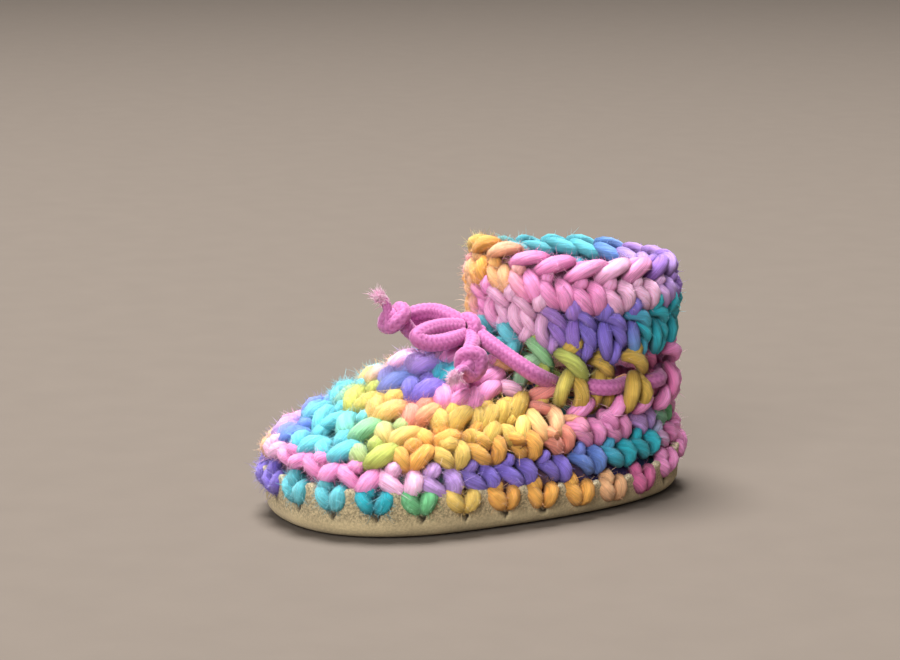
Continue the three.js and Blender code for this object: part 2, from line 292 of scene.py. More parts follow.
# a round by direction from the ankle's axis: 0 is the heel, a half turn the toe
def polarTable(shape, inset=0.0):
    own = np.linspace(-math.pi, math.pi, 4 * tableSteps + 1)
    line = outline(shape, own, inset)
    polar = np.arctan2(line[:, 0], line[:, 1] - last["ankleMiddle"])
    polar[0], polar[-1] = -math.pi, math.pi
    even = np.linspace(-math.pi, math.pi, tableSteps + 1)
    return np.stack([np.interp(even, polar, line[:, k]) for k in range(3)], -1)


roundTables = np.stack([polarTable(shape) for shape in rounds])


def tableSpot(angle):
    turn = (np.asarray(angle, float) / math.tau + 0.5) % 1 * tableSteps
    low = np.minimum(turn.astype(int), tableSteps - 1)
    return low, (turn - low)[..., None]


def tableAt(table, angle):
    low, share = tableSpot(angle)
    return table[low] * (1 - share) + table[low + 1] * share


def levelRing(turns, inset, z):  # the first round, drawn in and set at one height
    points = tableAt(polarTable(rounds[0], inset), turns)
    points[:, 2] = z
    return points


def through(a, b, c, d, t):  # a smooth curve from b to c
    return (2 * b + (c - a) * t + (2 * a - 5 * b + 4 * c - d) * t**2 + (3 * b - a - 3 * c + d) * t**3) / 2


def skin(angle, row):
    angle, row = np.broadcast_arrays(np.asarray(angle, float), np.asarray(row, float))
    low = np.clip(np.floor(row).astype(int), 0, last["rim"] - 1)
    t = (row - low)[..., None]
    left, share = tableSpot(angle)

    def one(step):
        k = np.clip(low + step, 0, last["rim"])
        return roundTables[k, left] * (1 - share) + roundTables[k, left + 1] * share

    return through(one(-1), one(0), one(1), one(2), t)


def unit(vectors):
    return vectors / np.maximum(np.linalg.norm(vectors, axis=-1, keepdims=True), 1e-9)


def outward(angle, row, stride=0.02):
    along = skin(angle + 0.02, row) - skin(angle - 0.02, row)
    above, below = (skin(angle, np.clip(row + way * stride, 0, last["rim"])) for way in (1, -1))
    rise = above - below
    away = unit(np.stack([-along[..., 1], along[..., 0], 0 * along[..., 0]], -1))
    rise = rise - away * np.maximum((rise * away).sum(-1, keepdims=True), 0)  # never leaning out
    rise[..., 2] = np.maximum(rise[..., 2], 0.05)
    return unit(np.cross(rise, along))


def under(angle, row, depth, stride=0.02):
    angle, row = np.broadcast_arrays(np.asarray(angle, float), np.asarray(row, float))
    return skin(angle, row) - np.asarray(depth, float)[..., None] * outward(angle, row, stride)


def lengthAlong(line):
    return np.concatenate([[0], np.cumsum(np.linalg.norm(np.diff(line, axis=0), axis=1))])


def evenAngles(turns, line):  # directions at even lengths along a row, and its length
    along = lengthAlong(line)
    return lambda share: np.interp(np.asarray(share) % 1, along / along[-1], turns), along[-1]


# Meshes

def finishPiece(piece, material, slot, *nodes):
    piece.data.materials.clear()
    piece.data.materials.append(material)
    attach(piece, "root")
    if nodes:
        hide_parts(*nodes)


# the kept colour holds the dye and, on the strands, fuzz, cord, sole and matted wool, painted shade as well
def paintDyeAndShade(mesh, shades):  # the colour of each point
    shades = shades.reshape(-1, 3)
    dye = mesh.attributes.new("dye", "FLOAT_COLOR", "POINT")
    full = np.concatenate([shades, np.ones((len(shades), 1))], 1)
    dye.data.foreach_set("color", full.ravel().astype(np.float32))


# a grid laid on rows of points that go round, with its seams merged
def wrapGrid(name, points, paint, closed=False):
    whole, shades = (np.concatenate([rows, rows[:, :1]], 1) for rows in (points, paint))
    if closed:
        whole, shades = (np.concatenate([rows, rows[:1]], 0) for rows in (whole, shades))
    rows, columns = whole.shape[:2]
    bpy.ops.object.select_all(action="DESELECT")
    bpy.ops.mesh.primitive_grid_add(
        x_subdivisions=columns - 1, y_subdivisions=rows - 1, size=1, location=(0, 0, 0),
    )
    piece = bpy.context.object
    piece.name = piece.data.name = name
    piece.data.vertices.foreach_set("co", (whole * mm).ravel().astype(np.float32))
    paintDyeAndShade(piece.data, shades)
    bpy.ops.object.mode_set(mode="EDIT")
    bpy.ops.mesh.select_all(action="SELECT")
    bpy.ops.mesh.remove_doubles(threshold=1e-6)
    bpy.ops.mesh.normals_make_consistent(inside=False)
    volume = bmesh.from_edit_mesh(piece.data).calc_volume(signed=True)
    if volume < 0:  # a thin wall may come out turned in
        bpy.ops.mesh.flip_normals()
    bpy.ops.object.mode_set(mode="OBJECT")
    bpy.ops.object.shade_smooth()
    return piece


def smoothLine(points, step):  # one smooth curve through the points, at even steps
    points = np.asarray(points, float)
    ends = np.concatenate([[2 * points[0] - points[1]], points, [2 * points[-1] - points[-2]]])
    t = np.linspace(0, 1, 24, endpoint=False)[:, None]
    parts = [through(*four, t) for four in zip(ends, ends[1:], ends[2:], ends[3:])]
    line = np.concatenate(parts + [points[-1:]])
    along = lengthAlong(line)
    even = np.linspace(0, along[-1], max(4, int(along[-1] / step)) + 1)
    return np.stack([np.interp(even, along, line[:, k]) for k in range(3)], -1), even


def carriedFrames(line):  # two directions across the line, carried along it without twist
    ahead = unit(np.gradient(line, axis=0))
    side = np.zeros_like(line)
    start = np.cross(ahead[0], (0.31, 0.12, 0.94))
    side[0] = start / np.linalg.norm(start)
    for i in range(1, len(line)):
        carried = side[i - 1] - ahead[i] * np.dot(side[i - 1], ahead[i])
        side[i] = carried / np.linalg.norm(carried)
    return side, np.cross(ahead, side)


def spikes(root, lean, curl, long, thick, jointed):  # fine curved cones, closed at the foot
    side = unit(np.cross(lean, curl))
    other = np.cross(lean, side)
    stops = [(root - lean * 0.3, 1.0)]
    if jointed:
        stops.append((root + lean * long * 0.55 + curl * long * 0.12, 0.75))
    rings = []
    for centre, wide in stops:
        for k in range(3):
            turn = k * math.tau / 3
            rings.append(centre + thick * wide * (side * math.cos(turn) + other * math.sin(turn)))
    rings.append(root + lean * long * 0.85 + curl * long * 0.5)
    step = len(rings)
    shape = [(2, 1, 0)]
    for k in range(0, step - 4, 3):
        shape += [(k, k + 1, k + 4, k + 3), (k + 1, k + 2, k + 5, k + 4), (k + 2, k, k + 3, k + 5)]
    top = step - 4
    shape += [(top, top + 1, step - 1), (top + 1, top + 2, step - 1), (top + 2, top, step - 1)]
    faces = [tuple(step * i + v for v in face) for i in range(len(root)) for face in shape]
    return np.stack(rings, 1).reshape(-1, 3), faces, step


# a mesh whose points carry their colour: dye, with painted shade on the strands and the fuzz
def dyedShadedMesh(name, points, faces, shades):
    mesh = bpy.data.meshes.new(name)
    mesh.from_pydata((points * mm).tolist(), [], faces)
    paintDyeAndShade(mesh, shades)
    piece = bpy.data.objects.new(name, mesh)
    bpy.context.collection.objects.link(piece)
    return piece


# Drawstring: one knitted cord, woven round the ankle and tied in a bow

posts = 18  # of the eyelet row; the cord passes in front of and behind them by turns
cord = {
    "thick": 4.0,
    "step": 0.24,
    "sides": 24,
    "wales": 6,  # columns of knit stitches round the cord
    "pitch": 1.2,
    "relief": 0.26,
    "slant": 0.55,  # of the two legs of a stitch
    "groove": 0.55,  # between two wales
    # one pink yarn, given painted shade in the grooves and painted highlight on the stitches' crests
    "pink": (0.28, 0.045, 0.19),
    "pale": (0.55, 0.17, 0.41),
    "knot": (5, -4.4, 45.4),
    "postDepth": 3.6,
    "swing": 1.5,
    "woven": 130,  # degrees from the heel to the last eyelet, on each side
    "bars": 140,  # where it comes out to the front
    "barOut": 2.6,
    "height": (0.5, 0.38),  # in the eyelet row, round the ankle and towards the bow
    "neckFrom": (0.8, 0.88),  # where along its length an end grows slim
}


def knitTube(name, route, thick, neck=1.0):
    line, along = smoothLine(route, cord["step"])
    side, other = carriedFrames(line)
    turn = np.arange(cord["sides"]) / cord["sides"]
    fold = np.abs((turn * cord["wales"]) % 1 - 0.5) * 2
    phase = (along[:, None] / cord["pitch"] + cord["slant"] * fold) % 1
    stitch = np.sin(math.pi * phase) ** 0.6 - cord["groove"] * fold**2
    radius = thick / 2 - cord["relief"] * 0.6 + cord["relief"] * stitch
    radius = radius * (1 + 0.03 * np.sin(along / 3.1 + 1))[:, None]
    radius = radius * np.interp(along / along[-1], cord["neckFrom"], [1, neck])[:, None]
    cap = np.sqrt(np.clip(np.minimum(along, along[-1] - along) / 1.2, 0, 1))[:, None]  # rounded ends
    radius = radius * cap
    angle = turn * math.tau
    points = line[:, None] + radius[..., None] * (
        np.cos(angle)[None, :, None] * side[:, None] + np.sin(angle)[None, :, None] * other[:, None]
    )
    # painted shade and highlight: the raised stitches are coloured pale, the grooves between them deep pink
    depth = np.clip((stitch + cord["groove"]) / 1.5, 0, 1)[..., None]
    paint = np.array(cord["pink"]) * (1 - depth) + np.array(cord["pale"]) * depth
    return wrapGrid(name, points, paint), line, along[-1]


def wovenRoute():
    turns = np.radians(np.arange(-cord["woven"], cord["woven"] + 1, 5))
    high, low = cord["height"]
    rows = last["ankle"] + np.where(np.abs(turns) > math.radians(120.5), low, high)
    woven = under(turns, rows, cord["postDepth"] + cord["swing"] * np.cos(posts / 2 * turns))
    knot = np.array(cord["knot"])

    def bar(way):  # from the last eyelet to the bow
        out = under(math.radians(cord["bars"]) * way, last["ankle"] + low, -cord["barOut"])
        end = knot + np.array([way * 1.6, 0.8, -0.4])
        return [out, (out + end) / 2 + np.array([way * 0.8, -0.8, 0.3]), end]

    return np.array(bar(-1)[::-1] + list(woven) + bar(1))


def cordKnit(name):
    material, knit, shader = startMaterial(name, 0.75, 0.3, (1, 0.85, 0.93))
    place = objectPlace(knit)
    cloud = noise(knit, place, 120, 2)
    fibres = noise(knit, place, 2600, 3)
    dyeAndShadeShader(knit, shader, 0.55 + cloud * 0.35 + fibres * 0.5)
    bump(knit, shader, fibres, 0.4, 0.0004)
    return material


cordFinish = cordKnit("cord_knit")
finishPiece(knitTube("drawstring", wovenRoute(), cord["thick"])[0], cordFinish, "cord", "drawstring_ring")
print("drawstring woven")

# the way the bow lies, close to the solids' bow, in millimetres
bow = {
    "loopNear": [
        (5.6, -8.8, 47.6), (6.2, -13.6, 48.2), (7.2, -18.6, 47.4), (8, -21.6, 45),
        (9.4, -19.2, 42.6), (9.8, -14.2, 42.4), (7.8, -9.2, 43.4),
    ],
    "loopFar": [
        (1.6, -7.4, 48.6), (-2.5, -10.2, 50.8), (-4.4, -14.2, 50.8), (-5.6, -17, 48.8),
        (-6.2, -14.2, 46.2), (-4.4, -9.7, 45), (-0.3, -6.4, 44.4),
    ],
    "endFar": [
        (2.4, -8.5, 43.2), (2, -12.7, 43.9), (1.6, -17.7, 44.8),
        (2, -23.2, 49.4), (1.6, -25.2, 52.6), (1.2, -26.8, 54.6),
    ],
    "endNear": [
        (10.5, -6, 43), (12.8, -8, 41.8), (15.6, -9.4, 40.8),
        (18.6, -11, 39.6), (20.6, -14.2, 38.8), (22, -17, 37.4),
    ],
    "knotPoint": 3,  # which point of an end its own knot sits on
    "wrap": 2.5,  # how far out a knot's turn lies
    "pressed": 0.62,  # the loops lie flatter than the solids' and are drawn in a little
    "drawn": 0.9,
    "axisFar": (-0.35, -0.9, 0.25),  # which way each end runs through its own knot
    "axisNear": (0.5, -0.75, -0.45),
    "neck": 0.62,
    "loopThick": 4.2,
    "endThick": 3.8,
    "knotThick": 3.7,
    "knotWrap": 2.6,
}
fray = {
    "count": 1000,
    "long": (0.8, 3.4),
    "thick": 0.085,
    "spread": 0.36,
    "pink": (0.72, 0.3, 0.52),
    "white": (0.95, 0.8, 0.88),
}


def coil(at, ahead, up, turns, slide, wide):  # turns of the cord round a point
    side = unit(np.cross(ahead, up))
    other = np.cross(ahead, side)
    around = [side * math.cos(turn) + other * math.sin(turn) for turn in turns]
    return [at + ahead * shift + wide * way for way, shift in zip(around, slide)]


def knottedRoute(points, axis):  # an end with a turn of the cord round itself where its knot is
    points = np.array(points, float)
    at = points[bow["knotPoint"]]
    ahead = unit(np.array(axis))
    turns = np.linspace(0.2, 1.35, 9) * math.tau
    slide = np.interp(turns, [turns[0], turns[3], turns[-1]], [1.9, -1.7, 1.2])
    ring = coil(at, ahead, (0.2, 0.1, 1), turns, slide, bow["wrap"])
    start = np.array(cord["knot"]) * 0.75 + points[0] * 0.25  # from inside the bow's own knot
    return np.array([start, *points[:3], at - ahead * 1.2, at + ahead * 1.4, *ring, points[4], points[5]])


def loopRoute(points):
    knot = np.array(cord["knot"])
    points = np.array(points, float)
    middle = points.mean(0)
    points[:, 2] = middle[2] + (points[:, 2] - middle[2]) * bow["pressed"]
    points = knot + (points - knot) * bow["drawn"]
    return np.array([knot * 0.7 + points[0] * 0.3, *points, knot * 0.7 + points[-1] * 0.3])


def bowKnotRoute():  # a turn and a half of cord over the middle of the bow
    axis = unit(np.array([0.35, -0.9, 0.15]))
    turns = np.linspace(0, 1.6, 14) * math.tau
    slide = np.linspace(1.5, -1.5, 14)
    return np.array(coil(np.array(cord["knot"]), axis, (0, 0, 1), turns, slide, bow["knotWrap"]))


def frayedTip(name, line):  # the cut end of the cord, opened into a tuft
    count = fray["count"]
    ahead = unit(line[-1] - line[-6])
    lean = unit(ahead + dice.normal(0, fray["spread"], (count, 3)))
    root = line[-1] - ahead * dice.uniform(0.2, 1.6, (count, 1)) + dice.normal(0, 0.45, (count, 3))
    low, high = fray["long"]
    long = low + (high - low) * dice.uniform(0, 1, (count, 1)) ** 1.5
    curl = unit(dice.normal(0, 1, (count, 3)))
    points, faces, step = spikes(root, lean, curl, long, fray["thick"], True)
    white = dice.uniform(0, 1, (count, 1)) ** 1.5
    shade = np.array(fray["pink"]) * (1 - white) + np.array(fray["white"]) * white
    finishPiece(dyedShadedMesh(name, points, faces, np.repeat(shade, step, 0)), cordFinish, "cord")


bowKnot = knitTube("bow_wrap", bowKnotRoute(), bow["knotThick"])[0]
finishPiece(bowKnot, cordFinish, "cord", "bow_knot")
for name, node, route, far in (
    ("bow_near", "bow_loop_near", loopRoute(bow["loopNear"]), "object"),
    ("bow_far", "bow_loop_far", loopRoute(bow["loopFar"]), "object"),
    ("tail_far", "bow_end_far", knottedRoute(bow["endFar"], bow["axisFar"]), "knot"),
    ("tail_near", "bow_end_near", knottedRoute(bow["endNear"], bow["axisNear"]), "knot"),
):
    thick, neck = (bow["endThick"], bow["neck"]) if far == "knot" else (bow["loopThick"], 1)
    piece, line, length = knitTube(name, route, thick, neck)
    finishPiece(piece, cordFinish, "cord", node)
    if far == "knot":
        frayedTip(name.replace("tail", "fray"), line)
    print("cord", name, round(length, 1), "mm")


# Sole: one piece of suede, turned up all round and punched for the wool

hooks = 26
hookShift = 0.18  # how far the first hook stands past the middle of the heel, in hooks
leather = {
    "thick": 2.0,
    "peak": (13.2, 8.6, 15.2),  # edge between two hooks, at toe, side and heel
    "notch": 6.0,
    "notchWide": 0.44,  # half of it, in hooks
    "bend": 3.4,  # where the turned-up part begins
    "holeDown": 1.2,
    "pucker": 0.7,
    "columns": 16,  # for each hook
    "tan": (0.63, 0.51, 0.3),
    "pale": (0.8, 0.69, 0.47),
    # painted shadow inside the punched holes
    "holeShadow": (0.05, 0.035, 0.02),
    "under": [  # in from the edge, and up
        (29, 0), (22, 0), (14, 0), (9, 0), (6.2, 0),
        (4.6, 0.12), (3.2, 0.45), (2.1, 0.95), (1.3, 1.7), (0.7, 2.6),
    ],
    "inside": [(2.1, 4.4), (3.2, 3), (5.6, 2), (14, 2), (26, 2)],
}
fineTurns = np.linspace(0, math.tau, 1441)
hookAngles = evenAngles(fineTurns, skin(fineTurns, 0))[0]


def closingRing(count, z):  # a ring drawn to one point
    return np.tile([0, rounds[0][2] / 2, z], (count, 1))


def buildSole():
    count = hooks * leather["columns"]
    angles = hookAngles(np.arange(count) / count)
    steps = np.arange(count) / leather["columns"] - hookShift
    beat = np.cos(steps * math.tau)  # 1 at a hook, -1 between two
    notch = leather["notch"] * np.clip(1 - np.abs(steps - np.round(steps)) / leather["notchWide"], 0, 1)
    edge = heightAt(*leather["peak"], angles) - notch
    pucker = leather["pucker"] * beat - leather["pucker"] / 2  # drawn in at the hooks, out between

    def ring(inset, z):
        inset = np.broadcast_to(inset, angles.shape)
        low, high = float(inset.min()), float(inset.max()) + 0.01
        share = ((inset - low) / (high - low))[:, None]
        points = levelRing(angles, low, 0) * (1 - share) + levelRing(angles, high, 0) * share
        points[:, 2] = z
        return points

    rings, shades = [], []
    tan, pale, holeShadow = (np.array(leather[key]) for key in ("tan", "pale", "holeShadow"))

    def add(points, shade):
        rings.append(points)
        shades.append(np.broadcast_to(shade, points.shape))

    add(closingRing(count, 0), tan)
    for inset, z in leather["under"]:
        add(ring(inset, z), tan)
    for share in np.linspace(0, 1, 9):
        z = leather["bend"] + (edge - leather["bend"]) * share
        inset = 0.35 * (1 - share) + pucker * share
        # painted shadow: a dark spot where each punched hole stands in shade
        below = z - (edge - leather["holeDown"])
        hole = np.exp(-((beat - 1) / 0.12) ** 2) * np.exp(-(below / 0.8) ** 2)
        rim = np.clip(share * 3 - 2.2, 0, 1)
        shade = tan * (1 - rim) + pale * rim
        shadow = np.clip(hole * 1.7, 0, 1)[:, None]
        shade = shade * (1 - shadow) + holeShadow * shadow
        add(ring(inset + hole * 0.9, z), shade)
    add(ring(pucker + 0.35, edge + 0.35), pale)
    add(ring(pucker + 1.5, edge + 0.35), pale)
    add(ring(pucker + leather["thick"], edge), pale)
    for inset, z in leather["inside"]:
        add(ring(inset, z), tan)
    add(closingRing(count, leather["thick"]), tan)
    return wrapGrid("suede_sole", np.array(rings), np.array(shades))


def suedeNap(name):
    material, hide, shader = startMaterial(name, 0.92, 0.2, (1, 0.93, 0.8))
    place = objectPlace(hide)
    nap = noise(hide, place, 1500, 4, 0.8)
    brushed = noise(hide, place, 140, 4)
    height = hide.node("ShaderNodeSeparateXYZ", None, {0: place}, "Z")
    rough = 0.25 + eased(height, 0.003, 0.0065) * 0.75  # stands up round the holes and lies flat below
    grain = eased(nap, 0.36, 0.66) - 0.45
    dyeAndShadeShader(hide, shader, 0.68 + grain * rough * 0.95 + brushed * 0.5)
    bump(hide, shader, nap * rough + brushed * 0.5, 0.9, 0.001)
    return material


finishPiece(buildSole(), suedeNap("suede_nap"), "suede", "sole")
print("sole turned up and punched")


# Insole: a loose felt foot bed

felt = {
    "inset": 7,
    "foot": 2.3,
    "top": 4.8,
    "sides": 160,
    "edge": [(20, 0), (0.9, 0), (0.3, 0.25), (0, 0.8), (0, 1.6), (0.3, 2.15), (0.9, 2.5)],  # in and up
    "bed": [3, 7, 12, 17, 20],
    "colour": (0.62, 0.56, 0.47),
}


def buildInsole():
    turns = np.linspace(0, math.tau, felt["sides"], endpoint=False)

    def ring(inset, z):
        points = levelRing(turns, felt["inset"] + inset, z)
        points[:, 2] += 0.12 * np.sin(points[:, 0] / 5) * np.cos(points[:, 1] / 7) * (z > 4)
        return points

    rings = [closingRing(felt["sides"], felt["foot"])]
    rings += [ring(inset, felt["foot"] + z) for inset, z in felt["edge"]]
    rings += [ring(inset, felt["top"]) for inset in felt["bed"]]
    rings.append(closingRing(felt["sides"], felt["top"]))
    points = np.array(rings)
    return wrapGrid("felt_insole", points, np.broadcast_to(np.array(felt["colour"]), points.shape))


finishPiece(buildInsole(), fieldWool("pressed_felt"), "felt", "insole")
print("insole laid")


# Wool: the dye of the yarn

wool = {
    "pink": (0.97, 0.35, 0.69),
    "pale": (1, 0.57, 0.83),
    "rose": (0.68, 0.16, 0.36),
    "coral": (0.88, 0.32, 0.24),
    "peach": (0.91, 0.51, 0.27),
    "orange": (0.9, 0.45, 0.1),
    "gold": (0.66, 0.44, 0.09),
    "yellow": (0.87, 0.61, 0.16),
    "lime": (0.56, 0.63, 0.15),
    "mint": (0.32, 0.66, 0.32),
    "green": (0.17, 0.54, 0.25),
    "aqua": (0.15, 0.6, 0.7),
    "teal": (0.03, 0.5, 0.62),
    "blue": (0.15, 0.27, 0.7),
    "iris": (0.25, 0.18, 0.68),
    "purple": (0.36, 0.2, 0.68),
    "lilac": (0.55, 0.35, 0.8),
}
# rounds, from the heel by the photographed side to the toe and back along the far side
runs = {
    "hook": (
        "pink pink pink rose peach orange orange orange yellow green teal aqua aqua iris iris lilac "
        "pale pink peach orange yellow lime mint aqua teal lilac"
    ),
    "first": (
        "pink pink pink teal teal blue iris iris iris lilac pale pink pink pink pale peach orange "
        "yellow lime mint aqua teal blue iris lilac pink pink"
    ),
    "second": (
        "pink pink green lilac pink pink coral orange orange yellow orange lime aqua aqua blue lilac "
        "pink peach orange yellow lime mint aqua blue lilac pink mint"
    ),
    "third": (
        "pink mint pink pink pink coral peach yellow gold orange orange mint aqua aqua blue lilac "
        "pink peach orange yellow gold coral rose pink lilac"
    ),
    "edge": "pink pink rose pink pink peach coral pale pink teal pink pale pink coral pink pink pink lilac",
    "post": (
        "pink pink pink rose gold gold lime mint aqua "
        "aqua mint lime yellow orange peach pink lilac pink"
    ),
    "leaf": (
        "pink pink pink rose gold gold gold lime aqua "
        "aqua mint lime yellow orange peach pink lilac pink"
    ),
    "base": (
        "pink pink pink pink pink pink pink coral peach "
        "teal coral pink pink peach orange pink lilac pink"
    ),
    "tall": (
        "lime green teal teal teal iris iris purple pale pale pink peach orange yellow lime mint aqua "
        "blue purple lilac"
    ),
    "short": (
        "lilac purple purple lilac pale pale pink pink pink peach orange peach pink pale lilac purple "
        "blue teal aqua lilac"
    ),
    "rim": (
        "lilac purple lilac purple pink pale pink pink pink peach orange yellow lime mint aqua aqua "
        "aqua aqua blue lilac"
    ),
}
# rows over the foot, from the photographed side to the far side
vampRuns = [
    "gold yellow yellow coral yellow lime aqua aqua teal lilac pink peach gold",
    "pink pink iris blue lilac yellow aqua aqua lilac pink coral",
    "pink teal iris lilac pale iris lilac blue pink pink",
    "pink teal blue iris pale lilac iris pink pink",
]


def blended(shades, at):  # each colour holds for a while, then runs into the next
    low = math.floor(at)
    blend = np.clip((at - low - 0.6) / 0.4, 0, 1)
    return shades[low % len(shades)] * (1 - blend) + shades[(low + 1) % len(shades)] * blend


def roundDye(run, count):  # the colour at a stitch's place in a closed round
    shades = np.array([wool[name] for name in runs[run].split()])
    return lambda place: blended(shades, place / count * len(shades) + 0.5)


def rowDye(run, first, count):  # the same for a row that ends at both sides
    shades = np.array([wool[name] for name in run.split()])
    return lambda place: blended(shades, np.clip((place - first) / count, 0, 0.999) * (len(shades) - 1))


# Crochet: a strand is modelled once and bent to the place of each leg, loop and chain link

strand = {
    "sides": 10,
    "rings": 8,
    "sunk": 1.5,  # how far under the skin its middle lies
    "longest": 11.5,
    "uneven": 0.11,
    "mottled": 0.1,
    "step": 6.0,  # what one row is worth below the first round and above the rim
    "fuller": [  # height on the ball that it starts from, and scale there
        (0.92, 1.8), (0.71, 1.27), (0.38, 1.06), (-0.38, 1.05), (-0.71, 1.22), (-0.92, 1.6),
    ],
}


def modelStrand():
    bpy.ops.object.select_all(action="DESELECT")
    bpy.ops.mesh.primitive_uv_sphere_add(segments=strand["sides"], ring_count=strand["rings"], radius=1)
    roll = bpy.context.object
    for height, scale in strand["fuller"]:  # a soft roll, a little slimmer where it is drawn in
        bpy.ops.object.mode_set(mode="EDIT")
        bpy.ops.mesh.select_all(action="DESELECT")
        bpy.ops.object.mode_set(mode="OBJECT")
        for vertex in roll.data.vertices:
            vertex.select = abs(vertex.co.z - height) < 0.05
        bpy.ops.object.mode_set(mode="EDIT")
        bpy.ops.transform.resize(value=(scale, scale, 1), center_override=(0, 0, 0))
        bpy.ops.object.mode_set(mode="OBJECT")
    shape = np.array([v.co for v in roll.data.vertices])
    # Blender's order of faces changes from run to run
    polygons = sorted(roll.data.polygons, key=lambda one: tuple(one.vertices))
    faces = [tuple(one.vertices) for one in polygons]
    layer = roll.data.uv_layers.active.data
    uv = np.array([layer[k].uv for one in polygons for k in one.loop_indices])
    bpy.data.objects.remove(roll)
    return {
        "share": (1 - shape[:, 2]) / 2,
        "wide": np.hypot(shape[:, 0], shape[:, 1]),
        "turn": np.arctan2(shape[:, 1], shape[:, 0]) + math.radians(-18),  # its UV seam turned to the inside
        "faces": faces,
        "uv": uv,
    }


mould = modelStrand()


def bentStrands(name, strands):
    keys = ("path", "radius", "normal", "dye", "tip")
    path, radius, normal, dyes, tips = (np.array([one[key] for one in strands])[:, None] for key in keys)
    a, m, b = (path[:, :, k] for k in range(3))
    share = mould["share"][None, :, None]
    control = 2 * m - (a + b) / 2
    line = (1 - share) ** 2 * a + 2 * share * (1 - share) * control + share**2 * b
    ahead = unit(2 * (1 - share) * (control - a) + 2 * share * (b - control))
    side = unit(np.cross(normal, ahead))
    out = np.cross(ahead, side)
    count, size = len(strands), len(mould["share"])
    lump = 1 + 0.08 * np.sin(mould["share"] * 7 + dice.uniform(0, 6, (count, 1)) + 2 * mould["turn"])
    wide = (radius * mould["wide"] * lump)[..., None]
    turn = mould["turn"][None, :, None]
    away = np.cos(turn) * out + np.sin(turn) * side
    points = line + wide * away
    shade = dyes * (1 - share) + tips * share
    # painted shade: each strand's colour is darkened and deepened on its inner side and towards its ends,
    # where the gaps between strands fall in shade
    facing = np.clip(np.cos(turn) * 0.8 + 0.45, 0, 1) ** 0.8
    facing = facing * np.sin(math.pi * np.clip(share, 0.05, 0.95)) ** 0.4
    shade = shade ** (1.6 - 0.6 * facing) * (0.26 + 0.74 * facing)  # deeper in the gaps
    faces = [tuple(v + i * size for v in face) for i in range(count) for face in mould["faces"]]
    piece = dyedShadedMesh(name, points.reshape(-1, 3), faces, shade)
    layer = piece.data.uv_layers.new(name="UVMap")
    layer.data.foreach_set("uv", np.tile(mould["uv"], (count, 1)).ravel().astype(np.float32))
    skein = piece.data.attributes.new("skein", "FLOAT", "POINT")
    skein.data.foreach_set("value", np.repeat(np.arange(count), size).astype(np.float32))
    piece.data.polygons.foreach_set("use_smooth", np.ones(len(faces), bool))
    finishPiece(piece, strandFinish, "wool")
    return points, away, shade


def jitter(amount):
    return 1 + dice.uniform(-amount, amount)


def addStroke(bag, dye, count, place, stroke, rowAt, angleOf, size=1.0, lift=0.0, loose=0.03):
    across, up, out = stroke["path"].T
    across = across + dice.normal(0, loose, 3)
    angles = angleOf((place - across) / count)
    rows = rowAt(angles, up + dice.normal(0, loose))
    held = np.clip(rows, 0, last["rim"])
    points = under(angles, held, strand["sunk"] - out * size - lift, 0.5)
    points[:, 2] += (rows - held) * strand["step"]
    span = np.linalg.norm(points[2] - points[0])
    points = points[1] + (points - points[1]) * min(1, strand["longest"] / span)
    away, rise = stroke["faces"]
    normal = unit(away * outward(angles[1:2], held[1:2], 0.5)[0] + rise * np.array([0, 0, 1]))
    middle, end = place - across[1], place - across[2]
    bag.append({
        "path": points, "normal": normal,
        "radius": stroke["radius"] * size * jitter(strand["uneven"]),
        "dye": dye(middle) * jitter(strand["mottled"]), "tip": dye(end) * jitter(strand["mottled"]),
    })


# A stroke: three points, its radius, and how much it faces out and up
def arc(start, middle, end, radius, faces=(1, 0)):
    return {"path": np.array([start, middle, end], float), "radius": radius, "faces": faces}


